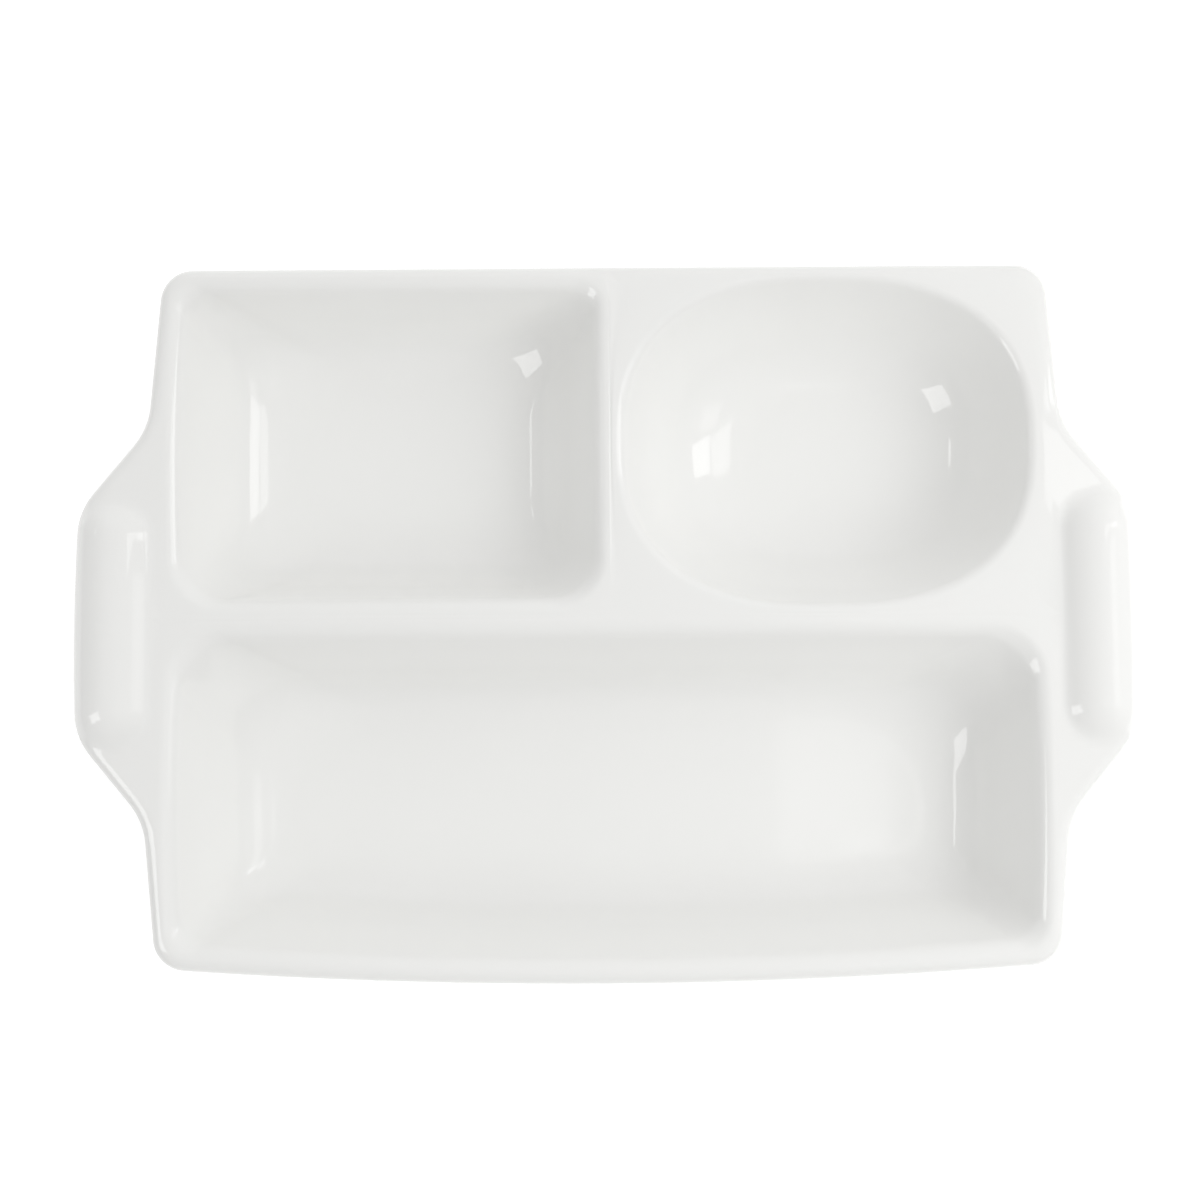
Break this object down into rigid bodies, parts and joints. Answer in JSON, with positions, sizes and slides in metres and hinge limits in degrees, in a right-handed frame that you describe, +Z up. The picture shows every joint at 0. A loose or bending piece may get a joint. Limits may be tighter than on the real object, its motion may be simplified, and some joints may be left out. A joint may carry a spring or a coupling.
{
  "type": "divided serving dish",
  "caption": "White porcelain serving dish with a rectangular, an oval and a long well under one level rim, and a lug handle with a raised rounded grip at each end.",
  "frame": {"origin": "under the middle of the dish, on the surface that its foot rings stand on", "axes": "+X along the dish towards the handle beside the oval well, +Y towards the back edge behind the rectangular and oval wells, +Z up out of the wells"},
  "size_m": [0.32, 0.2159, 0.0425],
  "materials": {
    "glazed_porcelain": "clear gloss glaze over white porcelain, bare on the foot rings"
  },
  "bodies": {
    "root": {"dish": "glazed_porcelain"}
  },
  "joints": []
}
